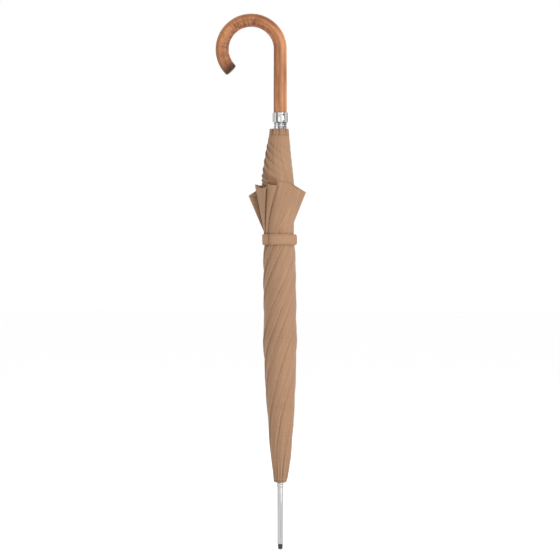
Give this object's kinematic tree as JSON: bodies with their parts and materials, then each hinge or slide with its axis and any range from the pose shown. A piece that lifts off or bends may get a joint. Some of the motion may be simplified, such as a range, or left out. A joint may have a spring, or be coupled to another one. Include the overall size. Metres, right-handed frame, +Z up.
{
  "type": "stick umbrella",
  "caption": "Closed stick umbrella: hooked wooden handle, bright collar, cloth canopy wrapped round hinged ribs and stretchers with a sliding runner, strap, and steel ferrule.",
  "frame": {"origin": "middle of the straight grip, on the shaft's axis", "axes": "+Z up along the shaft from the ferrule tip to the hook; the hook bends towards -X and lies in the XZ plane; -Y faces the viewer"},
  "size_m": [0.1452, 0.075, 0.8921],
  "materials": {
    "wood": "varnished, satin",
    "chrome": "polished",
    "steel": "satin plated",
    "cloth": "plain tan weave, matte",
    "black_plastic": "moulded, matte"
  },
  "bodies": {
    "stick": {"shaft_tube": "steel", "stop_pin": "steel", "handle_pin": "steel", "crown_notch": "steel", "crown_wire": "steel", "crown_rosette": "cloth", "ferrule_flange": "steel", "ferrule_tube": "steel", "ferrule_spigot": "steel", "ferrule_tip": "black_plastic", "crook_handle": "wood", "handle_collar": "chrome"},
    "rib_1": {"rib_1": "steel", "rib_tip_1": "chrome", "rivet_1": "steel", "closure_strap": "cloth", "strap_pad": "black_plastic"},
    "rib_2": {"rib_2": "steel", "rib_tip_2": "chrome", "rivet_2": "steel"},
    "rib_3": {"rib_3": "steel", "rib_tip_3": "chrome", "rivet_3": "steel"},
    "rib_4": {"rib_4": "steel", "rib_tip_4": "chrome", "rivet_4": "steel"},
    "rib_5": {"rib_5": "steel", "rib_tip_5": "chrome", "rivet_5": "steel"},
    "rib_6": {"rib_6": "steel", "rib_tip_6": "chrome", "rivet_6": "steel"},
    "rib_7": {"rib_7": "steel", "rib_tip_7": "chrome", "rivet_7": "steel"},
    "rib_8": {"rib_8": "steel", "rib_tip_8": "chrome", "rivet_8": "steel"},
    "stretcher_1": {"stretcher_1": "steel"},
    "stretcher_2": {"stretcher_2": "steel"},
    "stretcher_3": {"stretcher_3": "steel"},
    "stretcher_4": {"stretcher_4": "steel"},
    "stretcher_5": {"stretcher_5": "steel"},
    "stretcher_6": {"stretcher_6": "steel"},
    "stretcher_7": {"stretcher_7": "steel"},
    "stretcher_8": {"stretcher_8": "steel"},
    "runner": {"runner": "black_plastic", "runner_wire": "steel"},
    "gore_1": {"canopy_gore_1": "cloth"},
    "gore_2": {"canopy_gore_2": "cloth"},
    "gore_3": {"canopy_gore_3": "cloth"},
    "gore_4": {"canopy_gore_4": "cloth"},
    "gore_5": {"canopy_gore_5": "cloth"},
    "gore_6": {"canopy_gore_6": "cloth"},
    "gore_7": {"canopy_gore_7": "cloth"},
    "gore_8": {"canopy_gore_8": "cloth"},
    "catch_lower": {"catch_lower": "steel"},
    "catch_upper": {"catch_upper": "steel"}
  },
  "joints": [
    {"name": "rib_1_hinge", "type": "hinge", "parent": "stick", "child": "rib_1", "pos_m": [0.0082, 0, -0.662], "axis": [0, 1, 0], "range_deg": [0, 66], "deforming": ["canopy_gore_1", "canopy_gore_2", "canopy_gore_3", "canopy_gore_4", "canopy_gore_5", "canopy_gore_6", "canopy_gore_7", "canopy_gore_8", "closure_strap", "strap_pad", "catch_lower", "catch_upper"]},
    {"name": "rib_2_hinge", "type": "hinge", "parent": "stick", "child": "rib_2", "pos_m": [0.0058, 0.0058, -0.662], "axis": [-0.7071, 0.7071, 0], "range_deg": [0, 66]},
    {"name": "rib_3_hinge", "type": "hinge", "parent": "stick", "child": "rib_3", "pos_m": [0, 0.0082, -0.662], "axis": [-1, 0, 0], "range_deg": [0, 66]},
    {"name": "rib_4_hinge", "type": "hinge", "parent": "stick", "child": "rib_4", "pos_m": [-0.0058, 0.0058, -0.662], "axis": [-0.7071, -0.7071, 0], "range_deg": [0, 66]},
    {"name": "rib_5_hinge", "type": "hinge", "parent": "stick", "child": "rib_5", "pos_m": [-0.0082, 0, -0.662], "axis": [0, -1, 0], "range_deg": [0, 66]},
    {"name": "rib_6_hinge", "type": "hinge", "parent": "stick", "child": "rib_6", "pos_m": [-0.0058, -0.0058, -0.662], "axis": [0.7071, -0.7071, 0], "range_deg": [0, 66]},
    {"name": "rib_7_hinge", "type": "hinge", "parent": "stick", "child": "rib_7", "pos_m": [0, -0.0082, -0.662], "axis": [1, 0, 0], "range_deg": [0, 66]},
    {"name": "rib_8_hinge", "type": "hinge", "parent": "stick", "child": "rib_8", "pos_m": [0.0058, -0.0058, -0.662], "axis": [0.7071, 0.7071, 0], "range_deg": [0, 66]},
    {"name": "stretcher_1_hinge", "type": "hinge", "parent": "rib_1", "child": "stretcher_1", "pos_m": [0.0082, 0, -0.397], "axis": [0, 1, 0], "range_deg": [-132, 0]},
    {"name": "stretcher_2_hinge", "type": "hinge", "parent": "rib_2", "child": "stretcher_2", "pos_m": [0.0058, 0.0058, -0.397], "axis": [-0.7071, 0.7071, 0], "range_deg": [-132, 0]},
    {"name": "stretcher_3_hinge", "type": "hinge", "parent": "rib_3", "child": "stretcher_3", "pos_m": [0, 0.0082, -0.397], "axis": [-1, 0, 0], "range_deg": [-132, 0]},
    {"name": "stretcher_4_hinge", "type": "hinge", "parent": "rib_4", "child": "stretcher_4", "pos_m": [-0.0058, 0.0058, -0.397], "axis": [-0.7071, -0.7071, 0], "range_deg": [-132, 0]},
    {"name": "stretcher_5_hinge", "type": "hinge", "parent": "rib_5", "child": "stretcher_5", "pos_m": [-0.0082, 0, -0.397], "axis": [0, -1, 0], "range_deg": [-132, 0]},
    {"name": "stretcher_6_hinge", "type": "hinge", "parent": "rib_6", "child": "stretcher_6", "pos_m": [-0.0058, -0.0058, -0.397], "axis": [0.7071, -0.7071, 0], "range_deg": [-132, 0]},
    {"name": "stretcher_7_hinge", "type": "hinge", "parent": "rib_7", "child": "stretcher_7", "pos_m": [0, -0.0082, -0.397], "axis": [1, 0, 0], "range_deg": [-132, 0]},
    {"name": "stretcher_8_hinge", "type": "hinge", "parent": "rib_8", "child": "stretcher_8", "pos_m": [0.0058, -0.0058, -0.397], "axis": [0.7071, 0.7071, 0], "range_deg": [-132, 0]},
    {"name": "runner_hinge", "type": "hinge", "parent": "stretcher_1", "child": "runner", "pos_m": [0.0082, 0, -0.132], "axis": [0, 1, 0], "range_deg": [0, 66]},
    {"name": "gore_1_turn", "type": "hinge", "parent": "rib_1", "child": "gore_1", "pos_m": [0.0082, 0.0034, -0.662], "axis": [-0.7922, -0.3282, -0.5145], "range_deg": [0, 48.12]},
    {"name": "gore_2_turn", "type": "hinge", "parent": "rib_2", "child": "gore_2", "pos_m": [0.0034, 0.0082, -0.662], "axis": [-0.3282, -0.7922, -0.5145], "range_deg": [0, 48.12]},
    {"name": "gore_3_turn", "type": "hinge", "parent": "rib_3", "child": "gore_3", "pos_m": [-0.0034, 0.0082, -0.662], "axis": [0.3282, -0.7922, -0.5145], "range_deg": [0, 48.12]},
    {"name": "gore_4_turn", "type": "hinge", "parent": "rib_4", "child": "gore_4", "pos_m": [-0.0082, 0.0034, -0.662], "axis": [0.7922, -0.3282, -0.5145], "range_deg": [0, 48.12]},
    {"name": "gore_5_turn", "type": "hinge", "parent": "rib_5", "child": "gore_5", "pos_m": [-0.0082, -0.0034, -0.662], "axis": [0.7922, 0.3282, -0.5145], "range_deg": [0, 48.12]},
    {"name": "gore_6_turn", "type": "hinge", "parent": "rib_6", "child": "gore_6", "pos_m": [-0.0034, -0.0082, -0.662], "axis": [0.3282, 0.7922, -0.5145], "range_deg": [0, 48.12]},
    {"name": "gore_7_turn", "type": "hinge", "parent": "rib_7", "child": "gore_7", "pos_m": [0.0034, -0.0082, -0.662], "axis": [-0.3282, 0.7922, -0.5145], "range_deg": [0, 48.12]},
    {"name": "gore_8_turn", "type": "hinge", "parent": "rib_8", "child": "gore_8", "pos_m": [0.0082, -0.0034, -0.662], "axis": [-0.7922, 0.3282, -0.5145], "range_deg": [0, 48.12]},
    {"name": "catch_lower_press", "type": "hinge", "parent": "stick", "child": "catch_lower", "pos_m": [0.00388, 0.00161, -0.124], "axis": [-0.3827, 0.9239, 0], "range_deg": [-4.5, 0], "stiffness_Nm_per_rad": 0.4, "springref_deg": 2.86},
    {"name": "catch_upper_press", "type": "hinge", "parent": "stick", "child": "catch_upper", "pos_m": [0.00388, 0.00161, -0.357], "axis": [-0.3827, 0.9239, 0], "range_deg": [0, 4.5], "stiffness_Nm_per_rad": 0.4, "springref_deg": -2.86}
  ],
  "couplings": [
    {"joint": "rib_2_hinge", "follows": "rib_1_hinge", "ratio": 1},
    {"joint": "rib_3_hinge", "follows": "rib_1_hinge", "ratio": 1},
    {"joint": "rib_4_hinge", "follows": "rib_1_hinge", "ratio": 1},
    {"joint": "rib_5_hinge", "follows": "rib_1_hinge", "ratio": 1},
    {"joint": "rib_6_hinge", "follows": "rib_1_hinge", "ratio": 1},
    {"joint": "rib_7_hinge", "follows": "rib_1_hinge", "ratio": 1},
    {"joint": "rib_8_hinge", "follows": "rib_1_hinge", "ratio": 1},
    {"joint": "stretcher_1_hinge", "follows": "rib_1_hinge", "ratio": -2},
    {"joint": "stretcher_2_hinge", "follows": "rib_1_hinge", "ratio": -2},
    {"joint": "stretcher_3_hinge", "follows": "rib_1_hinge", "ratio": -2},
    {"joint": "stretcher_4_hinge", "follows": "rib_1_hinge", "ratio": -2},
    {"joint": "stretcher_5_hinge", "follows": "rib_1_hinge", "ratio": -2},
    {"joint": "stretcher_6_hinge", "follows": "rib_1_hinge", "ratio": -2},
    {"joint": "stretcher_7_hinge", "follows": "rib_1_hinge", "ratio": -2},
    {"joint": "stretcher_8_hinge", "follows": "rib_1_hinge", "ratio": -2},
    {"joint": "runner_hinge", "follows": "rib_1_hinge", "ratio": 1},
    {"joint": "gore_1_turn", "follows": "rib_1_hinge", "ratio": 0.72909},
    {"joint": "gore_2_turn", "follows": "rib_1_hinge", "ratio": 0.72909},
    {"joint": "gore_3_turn", "follows": "rib_1_hinge", "ratio": 0.72909},
    {"joint": "gore_4_turn", "follows": "rib_1_hinge", "ratio": 0.72909},
    {"joint": "gore_5_turn", "follows": "rib_1_hinge", "ratio": 0.72909},
    {"joint": "gore_6_turn", "follows": "rib_1_hinge", "ratio": 0.72909},
    {"joint": "gore_7_turn", "follows": "rib_1_hinge", "ratio": 0.72909},
    {"joint": "gore_8_turn", "follows": "rib_1_hinge", "ratio": 0.72909}
  ]
}
